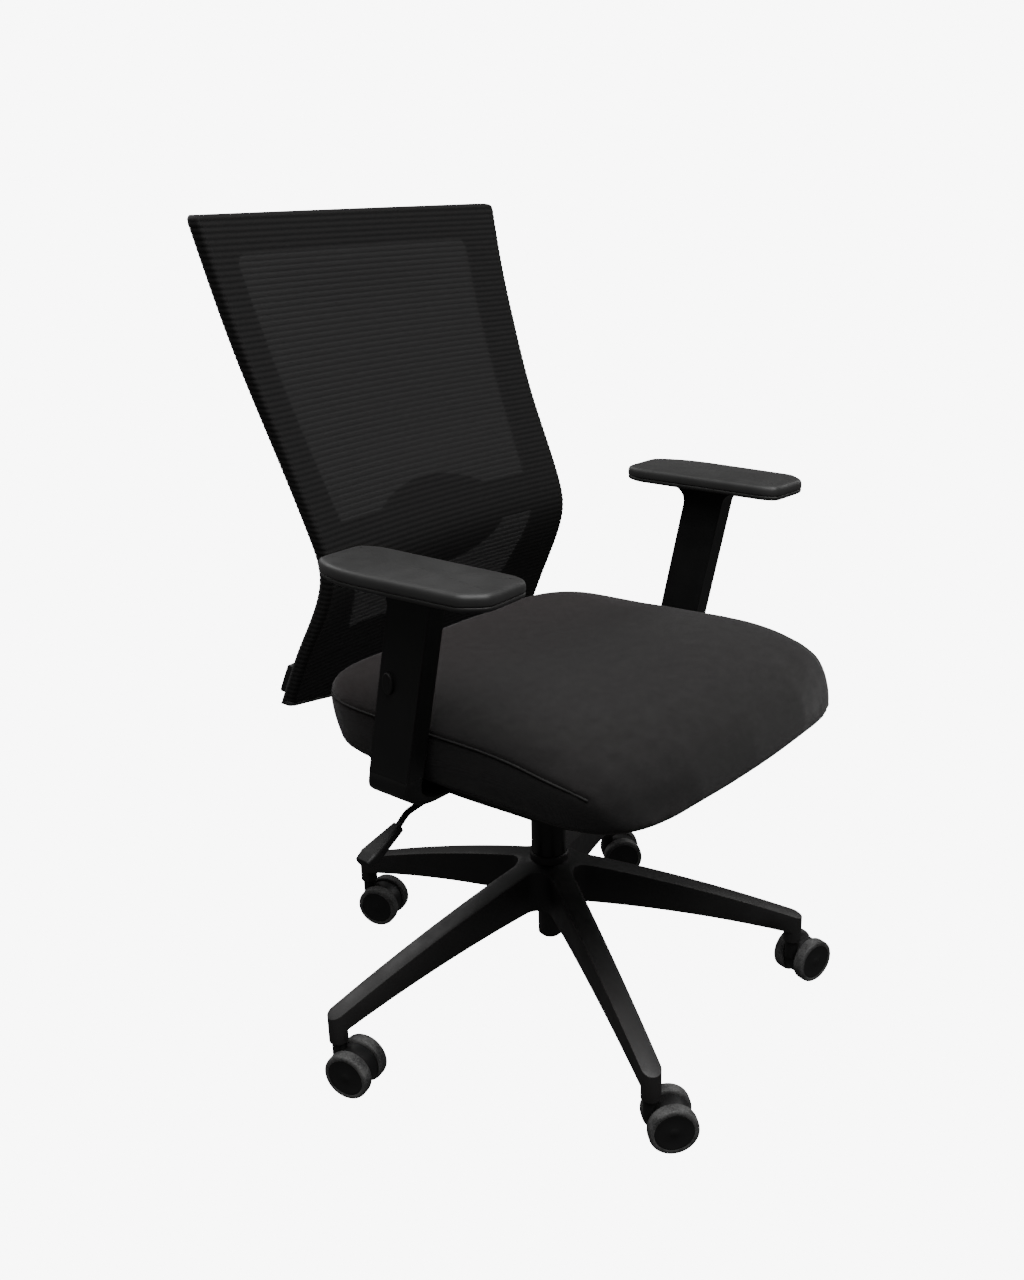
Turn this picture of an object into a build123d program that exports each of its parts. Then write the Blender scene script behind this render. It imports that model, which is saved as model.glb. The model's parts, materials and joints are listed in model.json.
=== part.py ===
from build123d import *
from math import atan, cos, degrees, hypot, radians, sin
import os

# Swivel office chair, in millimetres.
# The origin is on the floor under the swivel axis. +Z is up, the sitter faces -Y, and +X is the
# sitter's left.

os.makedirs("parts", exist_ok=True)

SIDES = ((1, "left"), (-1, "right"))

# Casters
WHEEL_R = 30.0
WHEEL_INNER_FACE = 10.4          # from the caster's middle plane
WHEEL_OUTER_FACE = 26.0
WHEEL_DISC_RECESS = 0.8
WHEEL_BORE_END = 22.4
AXLE_R = 4.0
AXLE_HALF_LENGTH = 22.0
RUNNING_CLEARANCE = 0.05         # radial, for every shaft that turns or slides in a hole
HOUSING_R = 26.0
HOUSING_HALF_WIDTH = 9.6
NECK_R = 9.0
NECK_TOP = 61.0
CASTER_TRAIL = 22.0
STEM_R = 5.5
STEM_BOTTOM, STEM_TOP = 40.0, 96.0
CASTER_HEADINGS = (-45.0, -70.0, -74.5, -42.5, -15.0)   # from each stem towards its axle, degrees

# Five-arm base
ARM_COUNT = 5
FIRST_ARM_ANGLE = 22.9
STEM_CIRCLE_R = 330.0
ARM_TIP_HALF = 12.0
ARM_ROOT_HALF = 16.0
ARM_WEB_R = 22.0
HUB_R = 26.0
ARM_TOP_AT_HUB, ARM_TOP_MIDDLE, ARM_TOP_AT_TIP = 200.0, 165.5, 98.0
ARM_BOTTOM_AT_HUB, ARM_BOTTOM_MIDDLE, ARM_BOTTOM_AT_TIP = 142.0, 112.0, 74.0
HUB_TOP = 211.0
HUB_BOSS_R, HUB_BOSS_BOTTOM = 16.5, 83.0
BASE_WALL = 4.0
BASE_RIB = 2.5
SOCKET_BOTTOM = 62.5
SOCKET_BORE_TOP = 97.0

# Gas lift
COLUMN_R = 23.5
COLUMN_TOP = 316.0
COLUMN_TAPER_R = 22.8
COLUMN_SHOULDER = 146.0
COLUMN_BORE_R = 20.5
COLUMN_FOOT_R = 13.0
COLUMN_FOOT_Z = 92.0
COLUMN_FOOT_BORE_R = 9.0
ROD_R = 5.0
ROD_TOP = 306.0
PISTON_R, PISTON_LENGTH = 10.9, 10.0
TUBE_R, TUBE_BORE_R = 14.0, 10.95
TUBE_BOTTOM, TUBE_TOP = 172.0, 362.0

# Tilt mechanism
TILT_Y, TILT_Z = -15.0, 372.0
TILT_PIN_R = 5.0
TILT_PIN_HALF = 47.0
CASE_HALF = 40.0
CASE_WALL = 3.0
CASE_BOTTOM = 328.0
KNOB_Y = -70.0
KNOB_R, KNOB_BOTTOM, KNOB_TOP = 26.0, 299.0, 326.0
TENSION_BOLT_R = 5.0
SPRING_R, SPRING_WIRE_R, SPRING_PITCH = 10.0, 1.6, 6.0
PLATE_HALF = 75.0
PLATE_FRONT, PLATE_REAR = -104.0, 108.0
PLATE_BOTTOM, PAN_BOTTOM, PAN_TOP = 389.0, 393.0, 405.0
EAR_INNER, EAR_OUTER = 40.8, 44.8
EAR_R = 13.0

# Height and tilt-lock lever, on the sitter's right
LEVER_Y, LEVER_Z = 20.0, 362.0
LEVER_R = 4.0
LEVER_BUSH_R, LEVER_BUSH_BORE_R = 9.0, 5.4
LEVER_BUSH_IN, LEVER_BUSH_OUT = -30.0, -54.0
LEVER_ROUTE = ((-42.0, 362.0), (-185.0, 361.0), (-237.0, 355.0), (-256.0, 340.5), (-262.0, 337.8))
PADDLE_START, PADDLE_END = (-252.0, 342.6), (-310.0, 320.0)

# Seat
CUSHION_SEAM = 477.0
CUSHION_CROWN = 489.0
SEAT_HALF_PLAN = (
    (0, 197), (120, 193), (204, 176), (241, 138), (254, 60), (259, -40), (254, -150), (242, -232),
    (208, -277), (120, -297), (0, -303),
)
SEAT_HALF_WIDTH, SEAT_HALF_DEPTH, SEAT_MIDDLE_Y = 259.0, 250.0, -53.0
PAN_INSET = 34.0
CUSHION_FOOT_INSET, CUSHION_SEAM_INSET, CUSHION_CROWN_INSET = 18.0, 0.2, 16.0
BOLT_R, BOLT_HEAD_R, BOLT_HEAD = 3.0, 5.6, 3.4

# Backrest: height, depth of its front surface at the side edges, and half width
BACK_STATIONS = (
    (400, 241, 234), (437, 222, 232), (515, 184, 228), (580, 151, 222), (620, 142, 221),
    (660, 153, 223), (760, 198, 228), (865, 240, 238), (940, 265, 244.5), (1016, 286, 252),
)
BACK_CENTRE_Y = -1500.0          # the vertical axis that the back curves round, in front of the chair
BACK_SWEEP = 10.0                # degrees to each side
BACK_MIDDLE_BOTTOM = 404.0
BACK_CORNER_R = 9.0
MESH_DEPTH = 2.0
FRAME_FRONT, FRAME_REAR = 2.3, 20.0
FRAME_INSET = 2.5
WINDOW_HALF = ((205, 977), (190, 806), (178, 668), (178, 617), (156, 517))
WINDOW_CORNER_R = 14.0
LUMBAR_FRONT, LUMBAR_REAR = 6.0, 16.0
LUMBAR_BAR_LOW, LUMBAR_BAR_HIGH, LUMBAR_BAR_HALF = 618.0, 667.0, 176.0
LUMBAR_PAD_Z, LUMBAR_PAD_HALF_W, LUMBAR_PAD_HALF_H = 634.0, 112.0, 57.0
COVER_FRONT, COVER_REAR, COVER_TOP, COVER_INSET = 20.3, 35.0, 486.0, 9.0
BRACKET_HALF = 35.0
BRACKET_THICK = 6.0
BRACKET_START, BRACKET_TOP = 112.0, 474.0
BRACKET_LEG_Y, BRACKET_LEG_Z, BRACKET_LEG_SLOPE = 258.6, 437.0, -0.5
BACK_BOLT_HEIGHTS = (430.0, 458.0)
BACK_BOLT_X = 20.0

# Armrests
POST_IN, POST_OUT = 267.0, 293.0
POST_WALL = 3.0
POST_SLIDE_GAP = 0.3
POST_HALF_Y = 29.5
POST_SEAM_Z, POST_SEAM_Y = 430.0, -11.5
POST_LEAN = -0.2226              # mm forward for each mm up
SLEEVE_TOP = 658.0
SLEEVE_FLANGE_Z = 653.0
FLANGE_REACH, FLANGE_FILLET = 27.0, 18.0
SLEEVE_CAVITY_TOP = 640.0
INNER_POST_TOP = 566.0
PAD_THICK = 19.6
BUTTON_Z, BUTTON_HALF_Y, BUTTON_HALF_Z = 545.0, 7.5, 12.5
BUTTON_SETBACK = 14.0            # from the post's middle towards its rear edge
BUTTON_INNER, BUTTON_OUTER = 291.6, 296.8
ELBOW_BOTTOM = 404.0
ARM_BOLT_X = (130.0, 160.0)


def save(builder, node):
    """Label a finished piece with its node's name and write its STEP file."""
    builder.part.label = node
    export_step(builder.part, f"parts/{node}.step")


def arm_angle(index):
    """Direction of one base arm, in degrees."""
    return FIRST_ARM_ANGLE + index * 360.0 / ARM_COUNT


def post_y(z):
    """Middle of the leaning armrest post at a height."""
    return POST_SEAM_Y + POST_LEAN * (z - POST_SEAM_Z)


def leg_y(z):
    """Front face of the back bracket's rising leg at a height."""
    return BRACKET_LEG_Y + BRACKET_LEG_SLOPE * (z - BRACKET_LEG_Z)


# ---------------------------------------------------------------- five-arm base

def near_hub(vertex):
    """True for the corners where two arms meet."""
    return hypot(vertex.X, vertex.Y) < STEM_CIRCLE_R / 4


def star_plan(inset):
    """The base from above: tapered arms with round tips and filleted webs, moved in by inset."""
    with BuildSketch() as plan:
        Circle(HUB_R)
        with PolarLocations(0, ARM_COUNT, start_angle=FIRST_ARM_ANGLE):
            Polygon(
                (0, -ARM_ROOT_HALF), (STEM_CIRCLE_R, -ARM_TIP_HALF),
                (STEM_CIRCLE_R, ARM_TIP_HALF), (0, ARM_ROOT_HALF), align=None,
            )
        with PolarLocations(STEM_CIRCLE_R, ARM_COUNT, start_angle=FIRST_ARM_ANGLE):
            Circle(ARM_TIP_HALF)
        fillet(plan.vertices().filter_by(near_hub), ARM_WEB_R)
        if inset:
            offset(amount=-inset, mode=Mode.REPLACE)
    return plan.sketch


def arm_side(drop, deep):
    """An arm from the side, lowered by drop, with its bottom deep below the real one."""
    reach = STEM_CIRCLE_R + ARM_TIP_HALF
    with BuildSketch() as side_view:
        with BuildLine():
            ThreePointArc(
                (HUB_R, ARM_TOP_AT_HUB - drop), (reach * 0.44, ARM_TOP_MIDDLE - drop),
                (reach, ARM_TOP_AT_TIP - drop),
            )
            Line((reach, ARM_TOP_AT_TIP - drop), (reach, ARM_BOTTOM_AT_TIP - deep))
            ThreePointArc(
                (reach, ARM_BOTTOM_AT_TIP - deep), (reach * 0.58, ARM_BOTTOM_MIDDLE - deep),
                (HUB_R, ARM_BOTTOM_AT_HUB - deep),
            )
            Polyline(
                (HUB_R, ARM_BOTTOM_AT_HUB - deep), (0, ARM_BOTTOM_AT_HUB - deep),
                (0, ARM_TOP_AT_HUB - drop), (HUB_R, ARM_TOP_AT_HUB - drop),
            )
        make_face()
    return side_view.sketch


# The hollow under the arms: inside the walls, under the top skin, and crossed by ribs.
with BuildPart() as arm_hollow:
    with BuildSketch():
        add(star_plan(BASE_WALL))
    extrude(amount=HUB_TOP)
    with BuildSketch(Plane.XZ):
        add(arm_side(BASE_WALL, 2 * WHEEL_R))
    revolve(axis=Axis.Z, mode=Mode.INTERSECT)
    Cylinder(HUB_R + 5, 2 * HUB_TOP, mode=Mode.SUBTRACT)
    with PolarLocations(STEM_CIRCLE_R, ARM_COUNT, start_angle=FIRST_ARM_ANGLE):
        Cylinder(ARM_TIP_HALF + 6, 2 * HUB_TOP, mode=Mode.SUBTRACT)
    for rib_r in range(80, 300, 40):
        with PolarLocations(rib_r, ARM_COUNT, start_angle=FIRST_ARM_ANGLE):
            Box(BASE_RIB, 4 * ARM_ROOT_HALF, 2 * HUB_TOP, mode=Mode.SUBTRACT)

with BuildPart() as base_star:
    with BuildSketch():
        add(star_plan(0))
    extrude(amount=HUB_TOP)
    with BuildSketch(Plane.XZ):
        add(arm_side(0, 0))
    revolve(axis=Axis.Z, mode=Mode.INTERSECT)
    add(arm_hollow.part, mode=Mode.SUBTRACT)
    with BuildSketch(Plane.XY.offset(SOCKET_BOTTOM)):
        with PolarLocations(STEM_CIRCLE_R, ARM_COUNT, start_angle=FIRST_ARM_ANGLE):
            Circle(ARM_TIP_HALF)
    extrude(amount=ARM_TOP_AT_TIP - SOCKET_BOTTOM - 2)
    with BuildSketch(Plane.XZ):
        with BuildLine():
            Polyline(
                (0, HUB_BOSS_BOTTOM), (HUB_BOSS_R - 4, HUB_BOSS_BOTTOM),
                (HUB_BOSS_R, HUB_BOSS_BOTTOM + 4), (HUB_BOSS_R, ARM_BOTTOM_AT_HUB),
                (HUB_R, ARM_BOTTOM_AT_HUB + 6), (HUB_R, HUB_TOP - 1.5), (HUB_R - 1.5, HUB_TOP),
                (0, HUB_TOP), close=True,
            )
        make_face()
    revolve(axis=Axis.Z)
    with BuildSketch(Plane.XZ):
        with BuildLine():
            Polyline(
                (0, HUB_BOSS_BOTTOM), (COLUMN_FOOT_R, HUB_BOSS_BOTTOM),
                (COLUMN_FOOT_R, COLUMN_SHOULDER), (COLUMN_TAPER_R, COLUMN_SHOULDER),
                (COLUMN_R, HUB_TOP), (0, HUB_TOP), close=True,
            )
        make_face()
    revolve(axis=Axis.Z, mode=Mode.SUBTRACT)
    with BuildSketch(Plane.XY.offset(SOCKET_BOTTOM)):
        with PolarLocations(STEM_CIRCLE_R, ARM_COUNT, start_angle=FIRST_ARM_ANGLE):
            Circle(STEM_R + RUNNING_CLEARANCE)
    extrude(amount=SOCKET_BORE_TOP - SOCKET_BOTTOM - 2, mode=Mode.SUBTRACT)
save(base_star, "base_star")

# ---------------------------------------------------------------- gas lift

with BuildPart() as gas_lift_tube:
    with BuildSketch(Plane.XZ):
        with BuildLine():
            Polyline(
                (ROD_R + RUNNING_CLEARANCE, COLUMN_FOOT_Z), (COLUMN_FOOT_R, COLUMN_FOOT_Z),
                (COLUMN_FOOT_R, COLUMN_SHOULDER), (COLUMN_TAPER_R, COLUMN_SHOULDER),
                (COLUMN_R, HUB_TOP), (COLUMN_R, COLUMN_TOP), (COLUMN_BORE_R, COLUMN_TOP),
                (COLUMN_BORE_R, COLUMN_SHOULDER + 4), (COLUMN_FOOT_BORE_R, COLUMN_SHOULDER + 4),
                (COLUMN_FOOT_BORE_R, COLUMN_FOOT_Z + 4), (ROD_R + RUNNING_CLEARANCE, COLUMN_FOOT_Z + 4),
                close=True,
            )
        make_face()
    revolve(axis=Axis.Z)
save(gas_lift_tube, "gas_lift_tube")

with BuildPart() as gas_lift_bush:
    with BuildSketch(Plane.XZ):
        with BuildLine():
            Polyline(
                (TUBE_R + RUNNING_CLEARANCE, COLUMN_TOP - 60), (COLUMN_BORE_R, COLUMN_TOP - 60),
                (COLUMN_BORE_R, COLUMN_TOP), (COLUMN_R - 0.5, COLUMN_TOP),
                (COLUMN_R - 1.5, COLUMN_TOP + 3), (TUBE_R + RUNNING_CLEARANCE, COLUMN_TOP + 3),
                close=True,
            )
        make_face()
    revolve(axis=Axis.Z)
save(gas_lift_bush, "gas_lift_bush")

with BuildPart() as thrust_bearing:
    with BuildSketch(Plane.XY.offset(COLUMN_SHOULDER + 4)):
        Circle(COLUMN_BORE_R - 3)
        Circle(ROD_R + 1, mode=Mode.SUBTRACT)
    extrude(amount=7)
    chamfer(thrust_bearing.edges().group_by(Axis.Z)[-1], 1)
save(thrust_bearing, "thrust_bearing")

with BuildPart() as piston_rod:
    with BuildSketch(Plane.XZ):
        with BuildLine():
            Polyline(
                (0, COLUMN_FOOT_Z - 5), (ROD_R - 1.4, COLUMN_FOOT_Z - 5),
                (ROD_R - 1.4, COLUMN_FOOT_Z - 1), (ROD_R, COLUMN_FOOT_Z),
                (ROD_R, ROD_TOP - PISTON_LENGTH), (PISTON_R, ROD_TOP - PISTON_LENGTH),
                (PISTON_R, ROD_TOP), (0, ROD_TOP), close=True,
            )
        make_face()
    revolve(axis=Axis.Z)
save(piston_rod, "piston_rod")

with BuildPart() as retaining_clip:
    with BuildSketch(Plane.XY.offset(COLUMN_FOOT_Z - 3.4)):
        Circle(8)
        Circle(ROD_R - 1.4, mode=Mode.SUBTRACT)
    extrude(amount=1.4)
save(retaining_clip, "retaining_clip")

with BuildPart() as pressure_tube:
    with BuildSketch(Plane.XZ):
        with BuildLine():
            Polyline(
                (ROD_R + RUNNING_CLEARANCE, TUBE_BOTTOM), (TUBE_R - 1, TUBE_BOTTOM),
                (TUBE_R, TUBE_BOTTOM + 1), (TUBE_R, TUBE_TOP), (0, TUBE_TOP), (0, TUBE_TOP - 6),
                (TUBE_BORE_R, TUBE_TOP - 6), (TUBE_BORE_R, TUBE_BOTTOM + 8),
                (ROD_R + RUNNING_CLEARANCE, TUBE_BOTTOM + 8), close=True,
            )
        make_face()
    revolve(axis=Axis.Z)
save(pressure_tube, "pressure_tube")

# ---------------------------------------------------------------- tilt mechanism

with BuildPart() as mechanism_housing:
    with BuildSketch(Plane.YZ):
        Polygon(
            (-98, 340), (-88, CASE_BOTTOM), (56, CASE_BOTTOM), (80, 344), (80, 358), (18, 381),
            (-50, 381), (-98, 374), align=None,
        )
    extrude(amount=CASE_HALF, both=True)
    with BuildSketch(Plane.YZ):
        Polygon(
            (-95, 342), (-86, CASE_BOTTOM + CASE_WALL), (54, CASE_BOTTOM + CASE_WALL), (77, 346),
            (77, 400), (-95, 400), align=None,
        )
    extrude(amount=CASE_HALF - CASE_WALL, both=True, mode=Mode.SUBTRACT)
    with BuildSketch(Plane.XY.offset(CASE_BOTTOM)):
        Circle(TUBE_R + 7)
        with Locations((0, KNOB_Y)):
            Circle(SPRING_R + 5)
    extrude(amount=CASE_WALL + 2)
    with BuildSketch(Plane.XY.offset(CASE_BOTTOM)):
        Circle(TUBE_R + 7)
    extrude(amount=TUBE_TOP - CASE_BOTTOM - 4)
    with BuildSketch(Plane.XY.offset(CASE_BOTTOM)):
        Circle(TUBE_R)
        with Locations((0, KNOB_Y)):
            Circle(TENSION_BOLT_R)
    extrude(amount=TUBE_TOP - CASE_BOTTOM + 20, mode=Mode.SUBTRACT)
    with BuildSketch(Plane.YZ):
        with Locations((TILT_Y, TILT_Z)):
            Circle(TILT_PIN_R)
    extrude(amount=CASE_HALF + 5, both=True, mode=Mode.SUBTRACT)
    with BuildSketch(Plane.YZ.offset(LEVER_BUSH_IN)):
        with Locations((LEVER_Y, LEVER_Z)):
            Circle(LEVER_BUSH_R + RUNNING_CLEARANCE)
    extrude(amount=LEVER_BUSH_OUT, mode=Mode.SUBTRACT)
save(mechanism_housing, "mechanism_housing")

with BuildPart() as tilt_pin:
    with BuildSketch(Plane.YZ):
        with Locations((TILT_Y, TILT_Z)):
            Circle(TILT_PIN_R)
    extrude(amount=TILT_PIN_HALF, both=True)
    chamfer(tilt_pin.edges().filter_by(GeomType.CIRCLE), 0.8)
save(tilt_pin, "tilt_pin")

with BuildPart() as tension_bolt:
    with BuildSketch(Plane.XY.offset(KNOB_BOTTOM - 3)):
        with Locations((0, KNOB_Y)):
            Circle(TENSION_BOLT_R)
    extrude(amount=70)
    with BuildSketch(Plane.XY.offset(KNOB_BOTTOM - 3 + 66)):
        with Locations((0, KNOB_Y)):
            RegularPolygon(SPRING_R + 3, 6)
    extrude(amount=5)
save(tension_bolt, "tension_bolt")

with BuildPart() as tension_spring:
    spring_bottom = CASE_BOTTOM + CASE_WALL + 2 + SPRING_WIRE_R
    with BuildLine():
        coil = Helix(
            pitch=SPRING_PITCH, height=4 * SPRING_PITCH, radius=SPRING_R - SPRING_WIRE_R,
            center=(0, KNOB_Y, spring_bottom),
        )
    with BuildSketch(Plane(origin=coil @ 0, z_dir=coil % 0)):
        Circle(SPRING_WIRE_R)
    sweep(path=coil, is_frenet=True)
save(tension_spring, "tension_spring")

with BuildPart() as tension_knob:
    with BuildSketch(Plane.XY.offset(KNOB_BOTTOM)):
        with Locations((0, KNOB_Y)):
            Circle(KNOB_R)
            with PolarLocations(KNOB_R + 4, 12):
                Circle(6, mode=Mode.SUBTRACT)
    extrude(amount=KNOB_TOP - KNOB_BOTTOM)
    with BuildSketch(Plane.XY.offset(KNOB_BOTTOM - 1)):
        with Locations((0, KNOB_Y)):
            Circle(TENSION_BOLT_R + RUNNING_CLEARANCE)
    extrude(amount=KNOB_TOP - KNOB_BOTTOM + 2, mode=Mode.SUBTRACT)
save(tension_knob, "tension_knob")

with BuildPart() as mechanism_top_plate:
    with BuildSketch(Plane.XY.offset(PLATE_BOTTOM)):
        with Locations((0, (PLATE_FRONT + PLATE_REAR) / 2)):
            RectangleRounded(2 * PLATE_HALF, PLATE_REAR - PLATE_FRONT, 12)
    extrude(amount=PAN_BOTTOM - PLATE_BOTTOM)
    for side, label in SIDES:
        with BuildSketch(Plane.YZ.offset(side * EAR_INNER)):
            with Locations((TILT_Y, TILT_Z)):
                Circle(EAR_R)
            Polygon(
                (TILT_Y - EAR_R, TILT_Z), (TILT_Y + EAR_R, TILT_Z),
                (TILT_Y + EAR_R + 14, PLATE_BOTTOM), (TILT_Y - EAR_R - 14, PLATE_BOTTOM), align=None,
            )
            with Locations((TILT_Y, TILT_Z)):
                Circle(TILT_PIN_R + RUNNING_CLEARANCE, mode=Mode.SUBTRACT)
        extrude(amount=side * (EAR_OUTER - EAR_INNER))
    with BuildSketch(Plane.XY.offset(PLATE_BOTTOM)):
        with GridLocations(120, 170, 2, 2):
            Circle(BOLT_R + 0.3)
    extrude(amount=PAN_BOTTOM - PLATE_BOTTOM, mode=Mode.SUBTRACT)
save(mechanism_top_plate, "mechanism_top_plate")

# ---------------------------------------------------------------- lever

with BuildPart() as lever_bush:
    with BuildSketch(Plane.YZ.offset(LEVER_BUSH_IN)):
        with Locations((LEVER_Y, LEVER_Z)):
            Circle(LEVER_BUSH_R)
            Circle(LEVER_BUSH_BORE_R, mode=Mode.SUBTRACT)
    extrude(amount=LEVER_BUSH_OUT - LEVER_BUSH_IN)
    chamfer(lever_bush.edges().group_by(Axis.X)[0], 0.6)
save(lever_bush, "lever_bush")

with BuildPart() as lever_rod:
    with BuildLine() as lever_path:
        FilletPolyline(*[(x, LEVER_Y, z) for x, z in LEVER_ROUTE], radius=(60, 26, 8))
    with BuildSketch(Plane(origin=lever_path.line @ 0, z_dir=lever_path.line % 0)):
        Circle(LEVER_R)
    sweep()
save(lever_rod, "lever_rod")

paddle_run = Vector(PADDLE_END[0] - PADDLE_START[0], 0, PADDLE_END[1] - PADDLE_START[1])
with BuildPart() as lever_paddle:
    paddle_plane = Plane(
        origin=(PADDLE_START[0], LEVER_Y, PADDLE_START[1]), x_dir=(0, 1, 0), z_dir=paddle_run,
    )
    with BuildSketch(paddle_plane):
        RectangleRounded(14, 11, 3.5)
    with BuildSketch(paddle_plane.offset(0.8 * paddle_run.length)):
        RectangleRounded(25, 15, 4)
    with BuildSketch(paddle_plane.offset(paddle_run.length)):
        RectangleRounded(22, 11, 4)
    loft(ruled=True)
    add(lever_rod.part, mode=Mode.SUBTRACT)
save(lever_paddle, "lever_paddle")

# ---------------------------------------------------------------- seat


def seat_plan(inset):
    """The seat from above, shrunk towards its middle by inset."""
    across = 1 - inset / SEAT_HALF_WIDTH
    along = 1 - inset / SEAT_HALF_DEPTH
    points = [(x * across, SEAT_MIDDLE_Y + (y - SEAT_MIDDLE_Y) * along) for x, y in SEAT_HALF_PLAN]
    with BuildSketch() as plan:
        with BuildLine():
            Spline(*points, tangents=((1, 0), (-1, 0)))
            mirror(about=Plane.YZ)
        make_face()
    return plan.sketch


with BuildPart() as seat_pan:
    with BuildSketch(Plane.XY.offset(PAN_BOTTOM)):
        add(seat_plan(PAN_INSET))
    extrude(amount=PAN_TOP - PAN_BOTTOM)
    with BuildSketch(Plane.XY.offset(PAN_BOTTOM)):
        with GridLocations(120, 170, 2, 2):
            Circle(BOLT_R)
        for side, label in SIDES:
            for bolt_x in ARM_BOLT_X:
                with Locations((side * bolt_x, post_y(ELBOW_BOTTOM))):
                    Circle(BOLT_R)
        with Locations((-BACK_BOLT_X, 140), (BACK_BOLT_X, 140)):
            Circle(BOLT_R)
    extrude(amount=9, mode=Mode.SUBTRACT)
save(seat_pan, "seat_pan")

with BuildPart() as seat_cushion:
    with BuildSketch(Plane.XY.offset(PAN_TOP)):
        add(seat_plan(CUSHION_FOOT_INSET))
    with BuildSketch(Plane.XY.offset(CUSHION_SEAM)):
        add(seat_plan(CUSHION_SEAM_INSET))
    with BuildSketch(Plane.XY.offset(CUSHION_CROWN)):
        add(seat_plan(CUSHION_CROWN_INSET))
    loft(ruled=True)
    with BuildSketch(Plane.YZ):
        with BuildLine():
            Polyline((230, CUSHION_CROWN + 5), (230, PAN_TOP), (-288, PAN_TOP), (-302, 418))
            Spline(
                (-302, 418), (-296, 442), (-262, 470), (-190, CUSHION_CROWN + 1),
                (-100, CUSHION_CROWN + 5),
            )
            Line((-100, CUSHION_CROWN + 5), (230, CUSHION_CROWN + 5))
        make_face()
    extrude(amount=300, both=True, mode=Mode.INTERSECT)
save(seat_cushion, "seat_cushion")



with BuildPart() as seat_bolts:
    with Locations(Location((0, 0, PLATE_BOTTOM))):
        with GridLocations(120, 170, 2, 2):
            Cylinder(BOLT_HEAD_R, BOLT_HEAD, align=(Align.CENTER, Align.CENTER, Align.MAX))
            Cylinder(BOLT_R, 12, align=(Align.CENTER, Align.CENTER, Align.MIN))
save(seat_bolts, "seat_bolts")

# ---------------------------------------------------------------- backrest

BACK_AXIS = Axis((0, BACK_CENTRE_Y, 0), (0, 0, -1))
BACK_SECTION = Plane(
    origin=(0, BACK_CENTRE_Y, 0),
    x_dir=(-sin(radians(BACK_SWEEP)), cos(radians(BACK_SWEEP)), 0),
    z_dir=(cos(radians(BACK_SWEEP)), sin(radians(BACK_SWEEP)), 0),
)


def back_section(front, rear):
    """The back from the side, between two depths behind its front surface."""
    stations = [(hypot(w, y - BACK_CENTRE_Y), z) for z, y, w in BACK_STATIONS]
    with BuildSketch() as section:
        with BuildLine():
            front_line = Spline(*[(r + front, z) for r, z in stations])
            rear_line = Spline(*[(r + rear, z) for r, z in stations])
            Line(front_line @ 0, rear_line @ 0)
            Line(front_line @ 1, rear_line @ 1)
        make_face()
    return section.sketch


def back_outline(inset):
    """The back from the front, moved inward by inset."""
    stations = [(w - inset, z) for z, y, w in BACK_STATIONS[2:-1]]
    corner_z, bottom_half = BACK_STATIONS[1][0] + inset, BACK_STATIONS[1][2] - inset
    top_z, top_half = BACK_STATIONS[-1][0] - inset, BACK_STATIONS[-1][2] - inset
    bottom_z = BACK_MIDDLE_BOTTOM + inset
    with BuildSketch() as outline:
        with BuildLine():
            edge = Spline((bottom_half, corner_z), *stations, (top_half, top_z))
            Line(edge @ 1, (0, top_z))
            Polyline(edge @ 0, (120, bottom_z + 9), (0, bottom_z))
            mirror(about=Plane.YZ)
        make_face()
        fillet([v for v in outline.vertices() if abs(v.X) > LUMBAR_BAR_HALF], BACK_CORNER_R)
    return outline.sketch


BACK_REACH = -450.0              # how far to the rear an outline is carried through the back

with BuildPart() as back_frame:
    with BuildSketch(BACK_SECTION):
        add(back_section(FRAME_FRONT, FRAME_REAR))
    revolve(axis=BACK_AXIS, revolution_arc=2 * BACK_SWEEP)
    with BuildSketch(Plane.XZ):
        add(back_outline(FRAME_INSET))
    extrude(amount=BACK_REACH, mode=Mode.INTERSECT)
    with BuildSketch(Plane.XZ) as window:
        Polygon(*WINDOW_HALF, *[(-x, z) for x, z in reversed(WINDOW_HALF)], align=None)
        fillet(window.vertices().group_by(Axis.Y)[0] + window.vertices().group_by(Axis.Y)[-1],
               WINDOW_CORNER_R)
    extrude(amount=BACK_REACH, mode=Mode.SUBTRACT)
    for bolt_z in BACK_BOLT_HEIGHTS:
        for side, label in SIDES:
            with Locations(Location((side * BACK_BOLT_X, leg_y(bolt_z), bolt_z), (-63.435, 0, 0))):
                Cylinder(BOLT_R, 24, mode=Mode.SUBTRACT)
save(back_frame, "back_frame")

with BuildPart() as back_mesh:
    with BuildSketch(BACK_SECTION):
        add(back_section(0, MESH_DEPTH))
    revolve(axis=BACK_AXIS, revolution_arc=2 * BACK_SWEEP)
    with BuildSketch(Plane.XZ):
        add(back_outline(0))
    extrude(amount=BACK_REACH, mode=Mode.INTERSECT)
save(back_mesh, "back_mesh")

with BuildPart() as lumbar_support:
    with BuildSketch(BACK_SECTION):
        add(back_section(LUMBAR_FRONT, LUMBAR_REAR))
    revolve(axis=BACK_AXIS, revolution_arc=2 * BACK_SWEEP)
    with BuildSketch(Plane.XZ):
        with Locations((0, (LUMBAR_BAR_LOW + LUMBAR_BAR_HIGH) / 2)):
            Rectangle(2 * LUMBAR_BAR_HALF, LUMBAR_BAR_HIGH - LUMBAR_BAR_LOW)
        with Locations((0, LUMBAR_PAD_Z)):
            Ellipse(LUMBAR_PAD_HALF_W, LUMBAR_PAD_HALF_H)
    extrude(amount=BACK_REACH, mode=Mode.INTERSECT)
save(lumbar_support, "lumbar_support")

# The bracket's side view: a bar under the seat pan that turns up behind the back frame.
bar_bottom = PAN_BOTTOM - BRACKET_THICK
leg_depth = BRACKET_THICK * hypot(1, BRACKET_LEG_SLOPE)


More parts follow.
